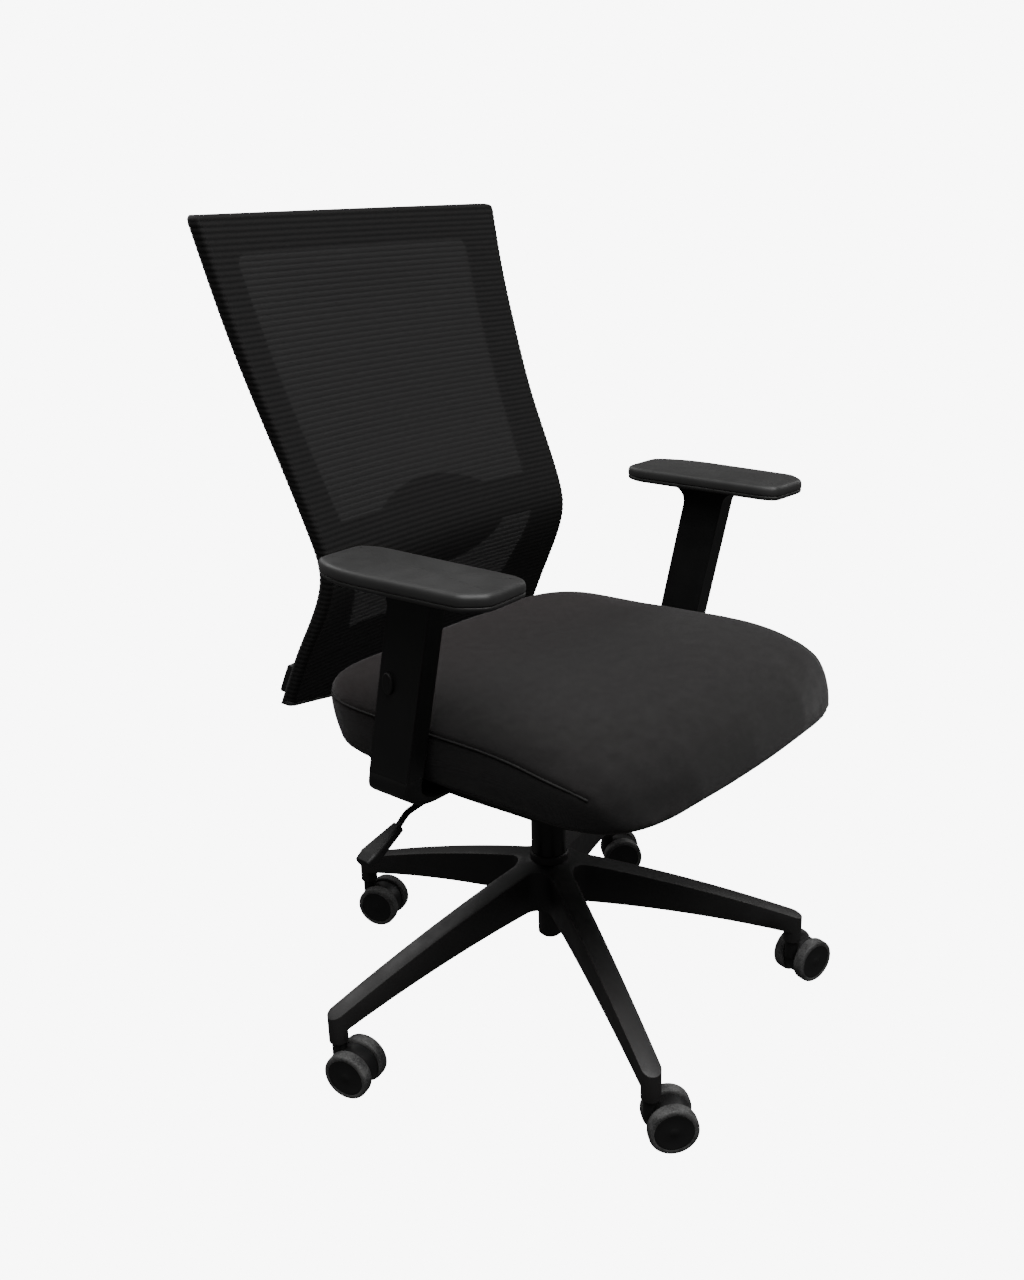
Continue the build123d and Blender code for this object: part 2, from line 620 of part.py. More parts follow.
def bracket_side(spare):
    """The back bracket from the side, grown by spare at its rear and top."""
    with BuildSketch() as side_view:
        Polygon(
            (BRACKET_START, bar_bottom), (leg_y(bar_bottom) + leg_depth + spare, bar_bottom),
            (leg_y(BRACKET_TOP) + leg_depth + spare, BRACKET_TOP + spare),
            (leg_y(BRACKET_TOP), BRACKET_TOP + spare), (leg_y(PAN_BOTTOM), PAN_BOTTOM),
            (BRACKET_START, PAN_BOTTOM), align=None,
        )
    return side_view.sketch


with BuildPart() as back_bracket:
    with BuildSketch(Plane.YZ):
        add(bracket_side(0))
    extrude(amount=BRACKET_HALF, both=True)
    with BuildSketch(Plane.XY.offset(bar_bottom)):
        with Locations((-BACK_BOLT_X, 140), (BACK_BOLT_X, 140)):
            Circle(BOLT_R + 0.3)
    extrude(amount=BRACKET_THICK, mode=Mode.SUBTRACT)
    for bolt_z in BACK_BOLT_HEIGHTS:
        for side, label in SIDES:
            with Locations(Location((side * BACK_BOLT_X, leg_y(bolt_z), bolt_z), (-63.435, 0, 0))):
                Cylinder(BOLT_R + 0.3, 24, mode=Mode.SUBTRACT)
save(back_bracket, "back_bracket")

with BuildPart() as back_bolts:
    for bolt_z in BACK_BOLT_HEIGHTS:
        for side, label in SIDES:
            bolt_place = Location((side * BACK_BOLT_X, leg_y(bolt_z), bolt_z), (-63.435, 0, 0))
            with Locations(bolt_place * Location((0, 0, BRACKET_THICK))):
                Cylinder(BOLT_HEAD_R, BOLT_HEAD, align=(Align.CENTER, Align.CENTER, Align.MIN))
                Cylinder(BOLT_R, 16, align=(Align.CENTER, Align.CENTER, Align.MAX))
    with Locations((-BACK_BOLT_X, 140, bar_bottom), (BACK_BOLT_X, 140, bar_bottom)):
        Cylinder(BOLT_HEAD_R, BOLT_HEAD, align=(Align.CENTER, Align.CENTER, Align.MAX))
        Cylinder(BOLT_R, 14, align=(Align.CENTER, Align.CENTER, Align.MIN))
save(back_bolts, "back_bolts")

with BuildPart() as back_lower_cover:
    with BuildSketch(BACK_SECTION):
        add(back_section(COVER_FRONT, COVER_REAR))
    revolve(axis=BACK_AXIS, revolution_arc=2 * BACK_SWEEP)
    with BuildSketch(Plane.XZ):
        add(back_outline(COVER_INSET))
    extrude(amount=BACK_REACH, mode=Mode.INTERSECT)
    with BuildSketch(Plane.XY.offset(COVER_TOP)):
        Rectangle(3 * POST_OUT, 4 * POST_OUT)
    extrude(amount=COVER_TOP + SLEEVE_TOP, mode=Mode.SUBTRACT)
    with BuildSketch(Plane.YZ):
        add(bracket_side(BOLT_HEAD + 1.5))
        Polygon(
            (leg_y(PAN_BOTTOM), PAN_BOTTOM), (leg_y(BRACKET_TOP), BRACKET_TOP + 5),
            (leg_y(BRACKET_TOP) - 8, BRACKET_TOP + 5), (leg_y(PAN_BOTTOM) - 8, PAN_BOTTOM),
            align=None,
        )
    extrude(amount=BRACKET_HALF + 0.5, both=True, mode=Mode.SUBTRACT)
save(back_lower_cover, "back_lower_cover")

# ---------------------------------------------------------------- armrests


def post_side(bottom, top, half_width):
    """A stretch of the leaning post from the side."""
    with BuildSketch() as side_view:
        Polygon(
            (post_y(bottom) - half_width, bottom), (post_y(bottom) + half_width, bottom),
            (post_y(top) + half_width, top), (post_y(top) - half_width, top), align=None,
        )
    return side_view.sketch


def elbow(side):
    """The arm bracket from the front: a flat bar that turns up into the post."""
    with BuildSketch() as front_view:
        with BuildLine():
            Polyline(
                (side * 228, PAN_BOTTOM), (side * 112, PAN_BOTTOM), (side * 112, bar_bottom),
                (side * 232, bar_bottom),
            )
            Spline(
                (side * 232, bar_bottom), (side * 272, 395), (side * 289, 408), (side * POST_OUT, 424),
                tangents=((side, 0), (0, 1)),
            )
            Polyline(
                (side * POST_OUT, 424), (side * POST_OUT, POST_SEAM_Z), (side * POST_IN, POST_SEAM_Z),
                (side * POST_IN, 420),
            )
            Spline(
                (side * POST_IN, 420), (side * 261, 404), (side * 246, 395), (side * 228, PAN_BOTTOM),
                tangents=((0, -1), (-side, 0)),
            )
        make_face()
    return front_view.sketch


def pad_plan(side):
    """The arm pad from above."""
    with BuildSketch() as plan:
        with BuildLine():
            Polyline(
                (side * 312, 49), (side * 252, 50), (side * 241, 24), (side * 240, -160),
                (side * 246, -177), (side * 306, -180), (side * 326, -156),
            )
            Spline((side * 326, -156), (side * 330, -60), (side * 325, 24), (side * 312, 49))
        make_face()
        fillet(plan.vertices(), 6)
    return plan.sketch


def sleeve_side():
    """The sleeve from the side: the leaning post with a flange under the pad."""
    bottom = POST_SEAM_Z + POST_SLIDE_GAP
    front = post_y(SLEEVE_FLANGE_Z) - POST_HALF_Y
    rear = post_y(SLEEVE_FLANGE_Z) + POST_HALF_Y
    with BuildSketch() as side_view:
        Polygon(
            (post_y(bottom) - POST_HALF_Y, bottom), (post_y(bottom) + POST_HALF_Y, bottom),
            (rear, SLEEVE_FLANGE_Z), (rear + FLANGE_REACH, SLEEVE_FLANGE_Z),
            (rear + FLANGE_REACH, SLEEVE_TOP), (front - FLANGE_REACH, SLEEVE_TOP),
            (front - FLANGE_REACH, SLEEVE_FLANGE_Z), (front, SLEEVE_FLANGE_Z), align=None,
        )
        inner = [v for v in side_view.vertices() if v.Y == SLEEVE_FLANGE_Z and front - 1 < v.X < rear + 1]
        fillet(inner, FLANGE_FILLET)
    return side_view.sketch


slide_gap = POST_WALL + POST_SLIDE_GAP
for side, label in SIDES:
    with BuildPart() as arm_bracket:
        with BuildSketch(Plane.XZ.offset(POST_OUT)):
            add(elbow(side))
        extrude(amount=-2 * POST_OUT)
        with BuildSketch(Plane.YZ):
            add(post_side(bar_bottom - 5, POST_SEAM_Z + 5, POST_HALF_Y))
        extrude(amount=side * 2 * POST_OUT, mode=Mode.INTERSECT)
        with BuildSketch(Plane.YZ.offset(side * (POST_IN + slide_gap))):
            add(post_side(POST_SEAM_Z - 6, INNER_POST_TOP, POST_HALF_Y - slide_gap))
        extrude(amount=side * (POST_OUT - POST_IN - 2 * slide_gap))
        with BuildSketch(Plane.XY.offset(bar_bottom)):
            for bolt_x in ARM_BOLT_X:
                with Locations((side * bolt_x, post_y(ELBOW_BOTTOM))):
                    Circle(BOLT_R + 0.3)
        extrude(amount=BRACKET_THICK, mode=Mode.SUBTRACT)
    save(arm_bracket, f"arm_bracket_{label}")

    with BuildPart() as arm_bolts:
        bolt_places = [(side * bolt_x, post_y(ELBOW_BOTTOM), bar_bottom) for bolt_x in ARM_BOLT_X]
        with Locations(*bolt_places):
            Cylinder(BOLT_HEAD_R, BOLT_HEAD, align=(Align.CENTER, Align.CENTER, Align.MAX))
            Cylinder(BOLT_R, 14, align=(Align.CENTER, Align.CENTER, Align.MIN))
    save(arm_bolts, f"arm_bolts_{label}")

    button_y = post_y(BUTTON_Z) + BUTTON_SETBACK
    with BuildPart() as arm_sleeve:
        with BuildSketch(Plane.YZ.offset(side * POST_IN)):
            add(sleeve_side())
        extrude(amount=side * (POST_OUT - POST_IN))
        with BuildSketch(Plane.YZ.offset(side * (POST_IN + POST_WALL))):
            add(post_side(POST_SEAM_Z - 5, SLEEVE_CAVITY_TOP, POST_HALF_Y - POST_WALL))
        extrude(amount=side * (POST_OUT - POST_IN - 2 * POST_WALL), mode=Mode.SUBTRACT)
        with BuildSketch(Plane.YZ.offset(side * (POST_OUT - POST_WALL - 1))):
            with Locations((button_y, BUTTON_Z)):
                Ellipse(BUTTON_HALF_Y + 0.4, BUTTON_HALF_Z + 0.4)
        extrude(amount=side * 20, mode=Mode.SUBTRACT)
    save(arm_sleeve, f"arm_sleeve_{label}")

    with BuildPart() as arm_button:
        with BuildSketch(Plane.YZ.offset(side * BUTTON_INNER)):
            with Locations((button_y, BUTTON_Z)):
                Ellipse(BUTTON_HALF_Y, BUTTON_HALF_Z)
        extrude(amount=side * (BUTTON_OUTER - BUTTON_INNER))
        fillet(arm_button.faces().sort_by(Axis.X)[-1 if side > 0 else 0].edges(), 1.6)
    save(arm_button, f"arm_button_{label}")

    with BuildPart() as arm_pad:
        with BuildSketch(Plane.XY.offset(SLEEVE_TOP)):
            add(pad_plan(side))
        extrude(amount=PAD_THICK)
        fillet(arm_pad.faces().sort_by(Axis.Z)[-1].edges(), 5)
        fillet(arm_pad.faces().sort_by(Axis.Z)[0].edges(), 3)
    save(arm_pad, f"arm_pad_{label}")

# ---------------------------------------------------------------- casters

for index, heading in enumerate(CASTER_HEADINGS):
    caster = f"caster_{index + 1}"
    stem_at = Vector(STEM_CIRCLE_R, 0, 0).rotate(Axis.Z, arm_angle(index))
    ahead = Vector(1, 0, 0).rotate(Axis.Z, heading)
    across = Vector(0, 1, 0).rotate(Axis.Z, heading)
    hub = stem_at + ahead * CASTER_TRAIL + Vector(0, 0, WHEEL_R)
    wheel_plane = Plane(origin=hub, x_dir=ahead, z_dir=across)

    with BuildPart() as caster_stem:
        with BuildSketch(Plane.XY.offset(STEM_BOTTOM)):
            with Locations((stem_at.X, stem_at.Y)):
                Circle(STEM_R)
        extrude(amount=STEM_TOP - 2 - STEM_BOTTOM)
        chamfer(caster_stem.edges().group_by(Axis.Z)[-1], 1)
    save(caster_stem, f"{caster}_stem")

    with BuildPart() as caster_housing:
        with BuildSketch(wheel_plane):
            Circle(HOUSING_R)
        extrude(amount=HOUSING_HALF_WIDTH, both=True)
        with BuildSketch(Plane.XY.offset(STEM_BOTTOM - 4)):
            with Locations((stem_at.X, stem_at.Y)):
                Circle(NECK_R)
        extrude(amount=NECK_TOP - STEM_BOTTOM + 4)
        with BuildSketch(Plane.XY.offset(STEM_BOTTOM)):
            with Locations((stem_at.X, stem_at.Y)):
                Circle(STEM_R)
        extrude(amount=WHEEL_R, mode=Mode.SUBTRACT)
        with BuildSketch(wheel_plane):
            Circle(AXLE_R)
        extrude(amount=HOUSING_HALF_WIDTH + 1, both=True, mode=Mode.SUBTRACT)
    save(caster_housing, f"{caster}_housing")

    with BuildPart() as caster_axle:
        with BuildSketch(wheel_plane):
            Circle(AXLE_R)
        extrude(amount=AXLE_HALF_LENGTH, both=True)
    save(caster_axle, f"{caster}_axle")

    for hand, letter in ((1, "a"), (-1, "b")):
        spin_axis = Axis(hub, across * hand)
        section_plane = Plane(origin=hub, x_dir=(0, 0, 1), z_dir=Vector(0, 0, 1).cross(across * hand))
        with BuildPart() as caster_wheel:
            with BuildSketch(section_plane):
                with BuildLine():
                    Polyline(
                        (AXLE_R + RUNNING_CLEARANCE, WHEEL_INNER_FACE), (WHEEL_R - 3, WHEEL_INNER_FACE),
                        (WHEEL_R - 0.6, WHEEL_INNER_FACE + 1), (WHEEL_R, WHEEL_INNER_FACE + 2.6),
                        (WHEEL_R, WHEEL_OUTER_FACE - 3.2), (WHEEL_R - 0.8, WHEEL_OUTER_FACE - 1.2),
                        (WHEEL_R - 3, WHEEL_OUTER_FACE), (WHEEL_R - 6, WHEEL_OUTER_FACE),
                        (WHEEL_R - 6.6, WHEEL_OUTER_FACE - WHEEL_DISC_RECESS),
                        (0, WHEEL_OUTER_FACE - WHEEL_DISC_RECESS), (0, WHEEL_BORE_END),
                        (AXLE_R + RUNNING_CLEARANCE, WHEEL_BORE_END), close=True,
                    )
                make_face()
            revolve(axis=spin_axis)
        save(caster_wheel, f"{caster}_wheel_{letter}")
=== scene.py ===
import json
import math

import bpy
import numpy as np
from mathutils import Matrix, Vector
from mathutils.bvhtree import BVHTree
from mathutils.geometry import convex_hull_2d
from mathutils.kdtree import KDTree


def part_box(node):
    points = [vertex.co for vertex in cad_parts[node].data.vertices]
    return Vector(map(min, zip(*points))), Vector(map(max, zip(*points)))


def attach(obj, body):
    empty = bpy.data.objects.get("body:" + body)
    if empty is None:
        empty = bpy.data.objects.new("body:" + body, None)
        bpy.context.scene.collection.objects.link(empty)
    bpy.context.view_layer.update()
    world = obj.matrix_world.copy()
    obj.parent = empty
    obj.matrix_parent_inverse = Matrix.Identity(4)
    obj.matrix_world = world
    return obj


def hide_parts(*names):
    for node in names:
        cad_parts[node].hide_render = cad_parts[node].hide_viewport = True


# A black mesh-back swivel chair. Everything is in metres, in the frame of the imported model:
# +Z up, the sitter faces -Y, and +X is the sitter's left.

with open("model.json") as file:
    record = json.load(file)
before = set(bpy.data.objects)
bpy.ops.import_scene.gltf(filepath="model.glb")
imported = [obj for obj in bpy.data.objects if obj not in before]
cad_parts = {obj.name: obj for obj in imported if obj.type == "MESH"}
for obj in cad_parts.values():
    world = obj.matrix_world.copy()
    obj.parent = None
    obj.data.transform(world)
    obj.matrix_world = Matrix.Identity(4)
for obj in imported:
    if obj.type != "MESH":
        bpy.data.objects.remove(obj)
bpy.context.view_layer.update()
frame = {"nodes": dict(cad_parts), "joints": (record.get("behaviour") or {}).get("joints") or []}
NODES = frame["nodes"]
JOINTS = {joint["name"]: joint for joint in frame["joints"]}
SIDES = ("left", "right")
CASTERS = range(1, 6)
MM = 0.001

# ---------------------------------------------------------------- camera and light

CAMERA_PLACE = (-1.1676, -0.9570, 1.0404)
CAMERA_AZIMUTH, CAMERA_ELEVATION, CAMERA_ROLL = -49.07, 19.48, -1.55
CAMERA_LENS = 35.94


def add_camera():
    """The studio camera, looking at the chair from its front left."""
    data = bpy.data.cameras.new("camera")
    camera = bpy.data.objects.new("camera", data)
    bpy.context.scene.collection.objects.link(camera)
    a, e, roll = (math.radians(v) for v in (CAMERA_AZIMUTH, CAMERA_ELEVATION, CAMERA_ROLL))
    back = Vector((math.sin(a) * math.cos(e), -math.cos(a) * math.cos(e), math.sin(e)))
    level = Vector((0, 0, 1)).cross(back).normalized()
    upright = back.cross(level)
    right = level * math.cos(roll) + upright * math.sin(roll)
    up = upright * math.cos(roll) - level * math.sin(roll)
    camera.matrix_world = Matrix.Translation(CAMERA_PLACE) @ Matrix((right, up, back)).transposed().to_4x4()
    data.lens = CAMERA_LENS
    data.sensor_width = 36.0
    data.clip_end = 30.0
    bpy.context.scene.camera = camera


def add_area_light(name, place, target, size, power):
    """A soft square light pointing at a target."""
    data = bpy.data.lights.new(name, "AREA")
    data.shape = "SQUARE"
    data.size = size
    data.energy = power
    light = bpy.data.objects.new(name, data)
    bpy.context.scene.collection.objects.link(light)
    light.location = place
    light.rotation_mode = "QUATERNION"
    light.rotation_quaternion = (Vector(target) - Vector(place)).to_track_quat("-Z", "Y")


BACKGROUND_GLOW = 8.4
WORLD_STRENGTH = 0.07
DOME_RADIUS = 14.0


def add_studio():
    """A pale floor and surround that glow evenly, a dim sky and soft lights from above."""
    world = bpy.data.worlds.new("studio")
    world.use_nodes = True
    world.node_tree.nodes["Background"].inputs["Color"].default_value = (1.0, 0.99, 0.985, 1)
    world.node_tree.nodes["Background"].inputs["Strength"].default_value = WORLD_STRENGTH
    bpy.context.scene.world = world
    add_area_light("key", (-0.5, -0.7, 2.7), (0, 0, 0.5), 2.2, 92)
    add_area_light("side", (2.4, -0.6, 1.5), (0, 0, 0.5), 1.2, 10)
    add_area_light("rear", (0.4, 2.4, 2.2), (0, 0, 0.7), 1.6, 22)
    glow = bpy.data.materials.new("studio_glow")
    glow.use_nodes = True
    glow.node_tree.nodes["Principled BSDF"].inputs["Base Color"].default_value = (0, 0, 0, 1)
    glow.node_tree.nodes["Principled BSDF"].inputs["Specular IOR Level"].default_value = 0
    glow.node_tree.nodes["Principled BSDF"].inputs["Emission Color"].default_value = (1, 1, 1, 1)
    glow.node_tree.nodes["Principled BSDF"].inputs["Emission Strength"].default_value = BACKGROUND_GLOW
    bpy.ops.mesh.primitive_uv_sphere_add(segments=48, ring_count=24, radius=DOME_RADIUS)
    dome = bpy.context.object
    dome.name = "surround"
    bpy.ops.mesh.primitive_circle_add(vertices=64, radius=DOME_RADIUS, fill_type="NGON")
    floor = bpy.context.object
    floor.name = "floor"
    for backdrop in (dome, floor):
        backdrop.data.materials.append(glow)
        backdrop.visible_diffuse = backdrop.visible_glossy = False
        backdrop.visible_transmission = backdrop.visible_shadow = False


# ---------------------------------------------------------------- materials


class Nodes:
    """A small helper to write a node material in a few lines."""

    def __init__(self, name):
        self.material = bpy.data.materials.new(name)
        self.material.use_nodes = True
        self.tree = self.material.node_tree
        self.shader = self.tree.nodes["Principled BSDF"]

    def add(self, kind, inputs=None, **settings):
        """A node with settings and inputs, where an input is a value or another node's output."""
        node = self.tree.nodes.new(kind)
        for key, value in settings.items():
            setattr(node, key, value)
        for key, value in (inputs or {}).items():
            self.set(node, key, value)
        return node

    def set(self, node, key, value):
        """Set or link one input."""
        if isinstance(value, bpy.types.NodeSocket):
            self.tree.links.new(value, node.inputs[key])
        else:
            node.inputs[key].default_value = value

    def noise(self, scale, detail=3.0, roughness=0.5):
        """Noise over the object, in metres."""
        place = self.add("ShaderNodeTexCoord").outputs["Object"]
        made = self.add("ShaderNodeTexNoise", {"Vector": place, "Scale": scale, "Detail": detail,
                                               "Roughness": roughness})
        return made.outputs["Fac"]

    def ramp(self, factor, low, high, dark, light):
        """Map a factor from low..high to a range of greys or colours."""
        made = self.add("ShaderNodeMapRange", {"Value": factor, "From Min": low, "From Max": high})
        mix = self.add("ShaderNodeMix", {"Factor": made.outputs["Result"]}, data_type="RGBA")
        self.set(mix, 6, (*dark, 1))
        self.set(mix, 7, (*light, 1))
        return mix.outputs[2]

    def span(self, factor, low, high, start, end):
        """Map a factor from low..high to start..end."""
        made = self.add("ShaderNodeMapRange", {"Value": factor, "From Min": low, "From Max": high,
                                               "To Min": start, "To Max": end})
        return made.outputs["Result"]

    def math(self, operation, a, b=0.0, c=0.0):
        """One Math node."""
        return self.add("ShaderNodeMath", {0: a, 1: b, 2: c}, operation=operation).outputs[0]

    def bump(self, height, strength, distance):
        """Bump the surface by a height in metres."""
        made = self.add("ShaderNodeBump", {"Height": height, "Strength": strength, "Distance": distance})
        self.set(self.shader, "Normal", made.outputs["Normal"])

    def finish(self, **inputs):
        """Set the shader's own sockets and return the material."""
        for key, value in inputs.items():
            self.set(self.shader, key.replace("_", " ").title().replace("Ior", "IOR"), value)
        return self.material


def plastic_material(name, dark, light, roughness, grain=2600.0, grain_depth=0.05 * MM, sheen=0.0):
    """Moulded black plastic: a fine spark-eroded grain, slight colour variation, uneven gloss."""
    m = Nodes(name)
    m.set(m.shader, "Base Color", m.ramp(m.noise(9.0, 4.0), 0.3, 0.7, dark, light))
    m.set(m.shader, "Roughness", m.span(m.noise(38.0, 5.0), 0.3, 0.7, roughness - 0.06, roughness + 0.07))
    m.bump(m.noise(grain, 2.0), 0.55, grain_depth)
    return m.finish(sheen_weight=sheen)


def metal_material(name, colour, roughness, brushed=600.0):
    """Plated or bare steel with a fine drawn texture."""
    m = Nodes(name)
    place = m.add("ShaderNodeTexCoord").outputs["Object"]
    stretched = m.add("ShaderNodeMapping", {"Vector": place, "Scale": (1.0, 1.0, 0.06)})
    grain = m.add("ShaderNodeTexNoise", {"Vector": stretched.outputs["Vector"], "Scale": brushed,
                                         "Detail": 3.0}).outputs["Fac"]
    m.set(m.shader, "Base Color", m.ramp(grain, 0.3, 0.7, tuple(0.85 * c for c in colour), colour))
    m.set(m.shader, "Roughness", m.span(grain, 0.3, 0.7, roughness - 0.05, roughness + 0.08))
    m.bump(grain, 0.2, 0.02 * MM)
    return m.finish(metallic=1.0)


def woven_material(name, dark, light, thread, rise, warm):
    """Fine twill: threads cross on the diagonal, with soft mottling and a warmer tone at the rear."""
    m = Nodes(name)
    place = m.add("ShaderNodeTexCoord").outputs["Object"]
    axes = m.add("ShaderNodeSeparateXYZ", {"Vector": place})
    x, y, z = (axes.outputs[k] for k in range(3))
    rising = m.math("ADD", m.math("ADD", x, y), z)
    falling = m.math("SUBTRACT", m.math("SUBTRACT", x, y), m.math("MULTIPLY", z, 0.35))
    turn = 2 * math.pi / thread
    warp = m.math("SINE", m.math("MULTIPLY", rising, turn))
    weft = m.math("SINE", m.math("MULTIPLY", falling, turn))
    weave = m.math("MULTIPLY_ADD", m.math("MULTIPLY", warp, weft), 0.5, 0.5)
    fuzz = m.noise(1900.0, 3.0)
    height = m.math("MULTIPLY_ADD", weave, 0.7, m.math("MULTIPLY", fuzz, 0.45))
    tone = m.ramp(height, 0.2, 0.9, dark, light)
    rear = m.span(m.math("ADD", y, m.math("MULTIPLY", m.noise(5.0), 0.12)), 0.02, 0.24, 0.0, 0.75)
    warmed = m.add("ShaderNodeMix", {"Factor": rear}, data_type="RGBA")
    m.set(warmed, 6, tone)
    m.set(warmed, 7, (*warm, 1))
    m.set(m.shader, "Base Color", warmed.outputs[2])
    m.set(m.shader, "Roughness", m.span(m.noise(60.0), 0.3, 0.7, 0.8, 0.95))
    m.bump(height, 0.75, rise)
    return m.finish(sheen_weight=0.16, sheen_roughness=0.45, specular_ior_level=0.3)


def rib_mesh_material():
    """Ribbed open mesh: dark cords with painted shade in the grooves between ribs and a painted highlight on
    the rib crests, with a little light let through between them.
    """
    m = Nodes("rib_mesh")
    uv = m.add("ShaderNodeAttribute", attribute_name="rib")
    axes = m.add("ShaderNodeSeparateXYZ", {"Vector": uv.outputs["Vector"]})
    across, along = axes.outputs[0], axes.outputs[1]
    crest = m.math("ABSOLUTE", m.math("SINE", m.math("MULTIPLY", along, math.pi)))
    strands = m.math("MULTIPLY_ADD", m.math("SINE", m.math("MULTIPLY", across, 2 * math.pi / (1.1 * MM))),
                     0.5, 0.5)
    thread = m.math("MULTIPLY_ADD", m.noise(1500.0, 2.0), 0.5, m.math("MULTIPLY", strands, 0.5))
    # Painted shade and painted highlight: the cords are coloured darker down in the grooves and lighter on
    # the rib crests.
    m.set(m.shader, "Base Color", m.ramp(crest, 0.25, 1.0, (0.0015, 0.0015, 0.0015), (0.006, 0.0056, 0.0056)))
    m.set(m.shader, "Roughness", m.span(thread, 0.2, 0.8, 0.72, 0.9))
    m.bump(thread, 0.6, 0.12 * MM)
    holes = m.span(crest, 0.15, 0.75, 0.0022, 0.0005)
    clear = m.add("ShaderNodeBsdfTransparent")
    open_mix = m.add("ShaderNodeMixShader", {0: holes, 1: m.shader.outputs[0], 2: clear.outputs[0]})
    output = m.tree.nodes["Material Output"]
    m.tree.links.new(open_mix.outputs[0], output.inputs["Surface"])
    return m.finish(sheen_weight=0.06, sheen_roughness=0.4, specular_ior_level=0.25)


def tread_material():
    """Worn polyurethane: scuffed grey with dark specks."""
    m = Nodes("wheel_tread")
    specks = m.noise(520.0, 4.0, 0.65)
    smear = m.noise(60.0, 4.0)
    worn = m.math("MULTIPLY_ADD", smear, 0.5, m.math("MULTIPLY", specks, 0.5))
    m.set(m.shader, "Base Color", m.ramp(worn, 0.38, 0.6, (0.028, 0.028, 0.028), (0.13, 0.13, 0.128)))
    m.set(m.shader, "Roughness", m.span(smear, 0.3, 0.7, 0.55, 0.8))
    m.bump(specks, 0.5, 0.12 * MM)
    return m.finish()


MATERIALS = {
    "nylon": plastic_material("base_nylon", (0.019, 0.018, 0.018), (0.03, 0.0285, 0.0285), 0.5, 1500.0,
                              0.08 * MM),
    "plastic": plastic_material("black_plastic", (0.006, 0.006, 0.006), (0.010, 0.010, 0.010), 0.48),
    "arm": plastic_material("arm_plastic", (0.006, 0.006, 0.006), (0.0105, 0.0105, 0.0105), 0.42),
    "pad": plastic_material("pad_soft", (0.018, 0.018, 0.0178), (0.026, 0.026, 0.0257), 0.5, 1800.0,
                            0.06 * MM, 0.05),
    "disc": plastic_material("wheel_disc", (0.008, 0.008, 0.008), (0.016, 0.016, 0.016), 0.55, 900.0,
                             0.08 * MM),
    "lift": plastic_material("lift_paint", (0.006, 0.006, 0.006), (0.008, 0.008, 0.008), 0.3, 900.0,
                             0.02 * MM),
    "paint": plastic_material("mechanism_paint", (0.007, 0.007, 0.007), (0.011, 0.011, 0.011), 0.38, 700.0,
                              0.05 * MM),
    "chrome": metal_material("chrome_tube", (0.62, 0.62, 0.63), 0.12),
    "steel": metal_material("zinc_steel", (0.5, 0.5, 0.5), 0.34),
    "tread": tread_material(),
    "fabric": woven_material("seat_fabric", (0.0035, 0.0032, 0.0032), (0.0155, 0.0136, 0.0136), 1.25 * MM,
                             0.22 * MM, (0.0115, 0.0058, 0.006)),
    "piping": plastic_material("piping_thread", (0.003, 0.003, 0.003), (0.007, 0.006, 0.006), 0.8, 2400.0,
                               0.1 * MM, 0.1),
    "mesh": rib_mesh_material(),
}

NODE_MATERIALS = {
    "base_star": "nylon", "gas_lift_tube": "lift", "gas_lift_bush": "plastic", "thrust_bearing": "steel",
    "piston_rod": "steel", "retaining_clip": "steel", "pressure_tube": "chrome",
    "mechanism_housing": "paint", "tilt_pin": "steel", "tension_bolt": "steel", "tension_spring": "steel",
    "tension_knob": "plastic", "lever_bush": "plastic", "lever_rod": "paint", "lever_paddle": "plastic",
    "mechanism_top_plate": "paint", "seat_pan": "plastic", "seat_bolts": "steel", "back_bracket": "paint",
    "back_frame": "plastic", "lumbar_support": "plastic", "back_lower_cover": "plastic",
    "back_bolts": "steel",
}
for side in SIDES:
    NODE_MATERIALS[f"arm_bracket_{side}"] = "arm"
    NODE_MATERIALS[f"arm_bolts_{side}"] = "steel"
    NODE_MATERIALS[f"arm_sleeve_{side}"] = "arm"
    NODE_MATERIALS[f"arm_button_{side}"] = "plastic"
for number in CASTERS:
    NODE_MATERIALS[f"caster_{number}_stem"] = "steel"
    NODE_MATERIALS[f"caster_{number}_housing"] = "plastic"
    NODE_MATERIALS[f"caster_{number}_axle"] = "steel"

# Moulded pieces whose long edges catch the light: the width of the rounding on their edges.
ROUNDED_EDGES = {
    "base_star": 1.6 * MM, "tension_knob": 0.8 * MM, "mechanism_housing": 1.0 * MM,
    "mechanism_top_plate": 0.6 * MM, "lever_paddle": 0.9 * MM, "back_frame": 1.2 * MM,
    "lumbar_support": 1.2 * MM, "back_lower_cover": 1.4 * MM, "back_bracket": 0.8 * MM,
    "arm_bracket_left": 2.2 * MM, "arm_bracket_right": 2.2 * MM,
}


def finish_cad_node(name, material):
    """Give a carried-over CAD node its material and, where it is moulded, rounded edges."""
    node = NODES[name]
    node.data.materials.clear()
    node.data.materials.append(MATERIALS[material])
    width = ROUNDED_EDGES.get(name)
    if name.endswith("_housing") and name.startswith("caster"):
        width = 1.2 * MM
    if width:
        weld = node.modifiers.new("weld", "WELD")
        weld.merge_threshold = 0.01 * MM
        bevel = node.modifiers.new("edges", "BEVEL")
        bevel.width = width
        bevel.segments = 3
        bevel.limit_method = "ANGLE"
        bevel.angle_limit = math.radians(38)
        bevel.use_clamp_overlap = True
        bevel.harden_normals = True
        node.data.polygons.foreach_set("use_smooth", [True] * len(node.data.polygons))


# ---------------------------------------------------------------- mesh helpers


def add_piece(name, points, faces, material):
    """A mesh object from points and faces."""
    mesh = bpy.data.meshes.new(name)
    mesh.from_pydata([tuple(p) for p in points], [], faces)
    mesh.validate()
    mesh.update()
    piece = bpy.data.objects.new(name, mesh)
    bpy.context.scene.collection.objects.link(piece)
    mesh.materials.append(MATERIALS[material])
    mesh.polygons.foreach_set("use_smooth", [True] * len(mesh.polygons))
    return piece


